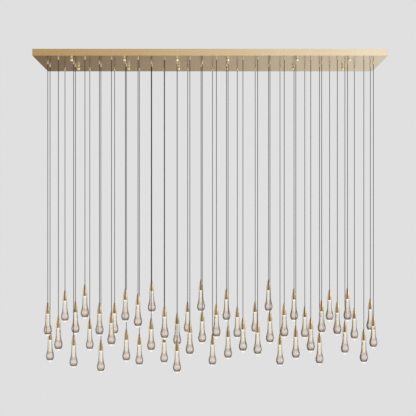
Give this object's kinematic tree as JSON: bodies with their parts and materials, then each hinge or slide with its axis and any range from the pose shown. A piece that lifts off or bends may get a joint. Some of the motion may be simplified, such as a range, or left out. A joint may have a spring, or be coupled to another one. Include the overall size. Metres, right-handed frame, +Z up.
{
  "type": "linear chandelier",
  "caption": "Long brushed-gold ceiling canopy with staggered rows of lit solid glass drops that hang at mixed heights on thin cables and swing at their grips",
  "frame": {"origin": "on the ceiling plane, at the middle of the canopy's length and depth", "axes": "+X along the canopy to the right, +Y from front to back, +Z up to the ceiling"},
  "size_m": [2.21, 0.508, 2.06],
  "materials": {
    "canopy_gold": "brushed gold",
    "nut_gold": "polished gold",
    "grip_brass": "satin turned brass",
    "cap_brass": "polished brown-gold plating",
    "glass": "clear solid glass",
    "cable": "dark grey sheath",
    "led": "lit warm white",
    "heat_sink": "turned aluminium",
    "silicone": "pale silicone",
    "steel": "zinc plated",
    "strip_board": "circuit board lacquer",
    "post_plastic": "white nylon",
    "driver_case": "white moulded",
    "block_plastic": "white moulded",
    "lead": "white flexible sheath",
    "earth_wire": "green and yellow sheath"
  },
  "bodies": {
    "canopy": {"canopy_tray": "canopy_gold", "mounting_bar_1": "steel", "mounting_bar_2": "steel", "mounting_bar_3": "steel", "mounting_bar_4": "steel", "mounting_bar_5": "steel", "mounting_bar_6": "steel", "bar_studs": "steel", "bar_lock_nuts": "steel", "cap_nuts": "nut_gold", "cap_nut_washers": "nut_gold", "cable_grips": "grip_brass", "grip_nuts": "steel", "grip_screws": "steel", "cable_tails": "cable", "strip_posts": "post_plastic", "stud_nuts": "steel", "terminal_block": "block_plastic", "mains_leads": "lead", "output_leads": "lead", "earth_lug": "steel", "earth_lead": "earth_wire", "front_supply_strip": "strip_board", "front_driver": "driver_case", "front_middle_supply_strip": "strip_board", "front_middle_driver": "driver_case", "rear_middle_supply_strip": "strip_board", "rear_middle_driver": "driver_case", "rear_supply_strip": "strip_board", "rear_driver": "driver_case"},
    "front_row": {"front_cables": "cable", "front_cable_stops": "steel", "front_caps": "cap_brass", "front_heat_sinks": "heat_sink", "front_led_chips": "led", "front_neck_sleeves": "silicone", "front_glass_drops": "glass"},
    "front_middle_row": {"front_middle_cables": "cable", "front_middle_cable_stops": "steel", "front_middle_caps": "cap_brass", "front_middle_heat_sinks": "heat_sink", "front_middle_led_chips": "led", "front_middle_neck_sleeves": "silicone", "front_middle_glass_drops": "glass"},
    "rear_middle_row": {"rear_middle_cables": "cable", "rear_middle_cable_stops": "steel", "rear_middle_caps": "cap_brass", "rear_middle_heat_sinks": "heat_sink", "rear_middle_led_chips": "led", "rear_middle_neck_sleeves": "silicone", "rear_middle_glass_drops": "glass"},
    "rear_row": {"rear_cables": "cable", "rear_cable_stops": "steel", "rear_caps": "cap_brass", "rear_heat_sinks": "heat_sink", "rear_led_chips": "led", "rear_neck_sleeves": "silicone", "rear_glass_drops": "glass"}
  },
  "joints": [
    {"name": "front_swing", "type": "hinge", "parent": "canopy", "child": "front_row", "pos_m": [0, -0.187, -0.049], "axis": [1, 0, 0], "range_deg": [-12, 5]},
    {"name": "front_middle_swing", "type": "hinge", "parent": "canopy", "child": "front_middle_row", "pos_m": [0, -0.045, -0.049], "axis": [1, 0, 0], "range_deg": [-12, 0.75]},
    {"name": "rear_middle_swing", "type": "hinge", "parent": "canopy", "child": "rear_middle_row", "pos_m": [0, 0.045, -0.049], "axis": [1, 0, 0], "range_deg": [-0.75, 12]},
    {"name": "rear_swing", "type": "hinge", "parent": "canopy", "child": "rear_row", "pos_m": [0, 0.187, -0.049], "axis": [1, 0, 0], "range_deg": [-5, 12]}
  ]
}
